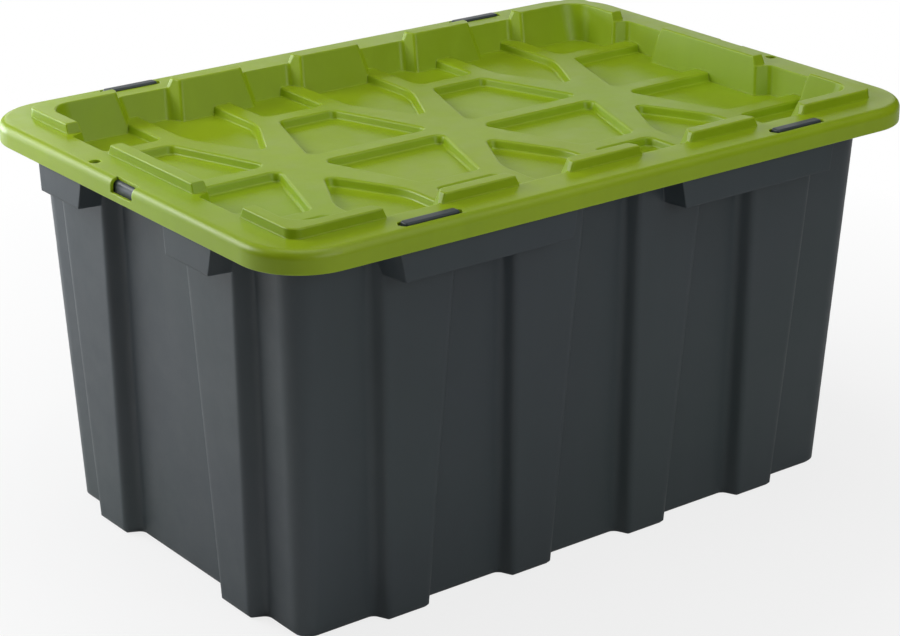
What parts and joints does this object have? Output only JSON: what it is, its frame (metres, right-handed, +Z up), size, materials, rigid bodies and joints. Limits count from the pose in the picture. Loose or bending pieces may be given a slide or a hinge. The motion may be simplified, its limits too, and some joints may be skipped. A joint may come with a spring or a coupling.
{
  "type": "storage crate with lid",
  "caption": "Large rectangular plastic storage crate with tapered, ribbed walls, hand grips under the rim and a lid that clips on, with a recessed deck for stacking.",
  "frame": {"origin": "the middle of the base, on the floor that the crate stands on", "axes": "+Z up, X along the crate's length, Y across its width, with the long front side facing -Y"},
  "size_m": [0.76, 0.528, 0.404],
  "materials": {
    "tub_plastic": "satin",
    "lid_plastic": "satin"
  },
  "bodies": {
    "tub": {"tub": "tub_plastic"},
    "lid": {"lid": "lid_plastic"}
  },
  "joints": [
    {"name": "lid_lift", "type": "slide", "parent": "tub", "child": "lid", "axis": [0, 0, 1], "range_m": [0, 0.2]}
  ]
}
